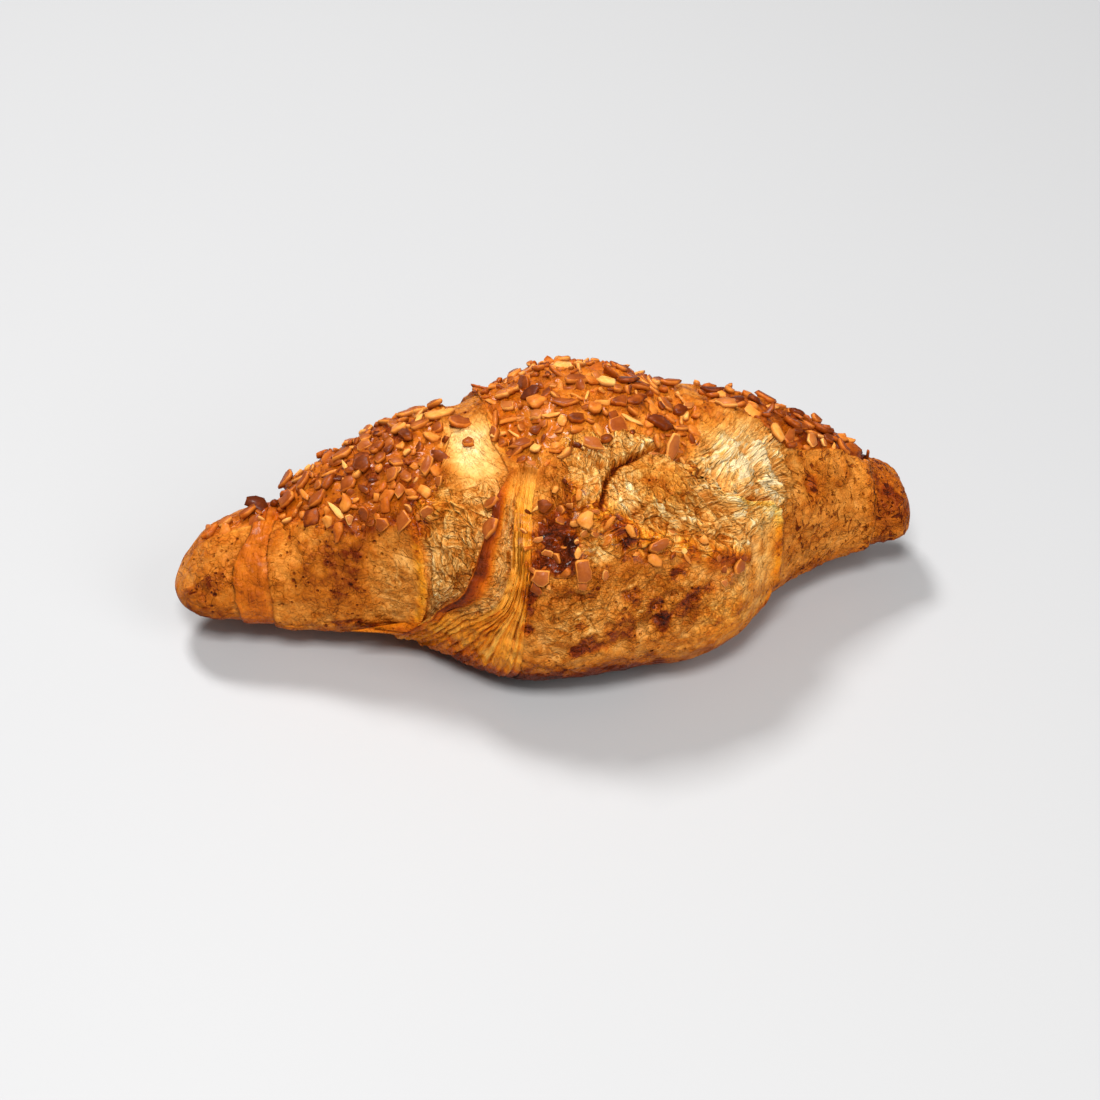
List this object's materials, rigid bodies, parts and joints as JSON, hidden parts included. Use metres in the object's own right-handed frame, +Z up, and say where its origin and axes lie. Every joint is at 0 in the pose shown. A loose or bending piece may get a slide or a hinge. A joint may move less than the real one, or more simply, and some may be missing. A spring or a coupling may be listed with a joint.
{
  "type": "almond croissant",
  "caption": "Straight baked croissant with a plump rolled belly, two tapering horns, a flat underside and chopped toasted almonds on its crust.",
  "frame": {"origin": "middle of the footprint, on the surface that the croissant rests on", "axes": "+X along the croissant from the left horn to the right horn, -Y towards the front of the belly, +Z up"},
  "size_m": [0.191, 0.089, 0.0674],
  "materials": {
    "crust": "baked, egg-washed, golden brown with pale stretched creases",
    "almond": "toasted, with a thin sugar glaze"
  },
  "bodies": {
    "root": {"pastry": "crust", "almond_01": "almond", "almond_02": "almond", "almond_03": "almond", "almond_04": "almond", "almond_05": "almond", "almond_06": "almond", "almond_07": "almond", "almond_08": "almond", "almond_09": "almond", "almond_10": "almond", "almond_11": "almond", "almond_12": "almond", "almond_13": "almond", "almond_14": "almond", "almond_15": "almond", "almond_16": "almond", "almond_17": "almond", "almond_18": "almond", "almond_19": "almond", "almond_20": "almond", "almond_21": "almond", "almond_22": "almond", "almond_23": "almond", "almond_24": "almond", "almond_25": "almond", "almond_26": "almond", "almond_27": "almond", "almond_28": "almond", "almond_29": "almond", "almond_30": "almond", "almond_31": "almond", "almond_32": "almond", "almond_33": "almond", "almond_34": "almond", "almond_35": "almond", "almond_36": "almond", "almond_37": "almond", "almond_38": "almond", "almond_39": "almond", "almond_40": "almond", "almond_41": "almond", "almond_42": "almond", "almond_43": "almond", "almond_44": "almond", "almond_45": "almond", "almond_46": "almond", "almond_47": "almond", "almond_48": "almond", "almond_49": "almond", "almond_50": "almond", "almond_51": "almond", "almond_52": "almond", "almond_53": "almond", "almond_54": "almond", "almond_55": "almond", "almond_56": "almond", "almond_57": "almond", "almond_58": "almond"}
  },
  "joints": []
}
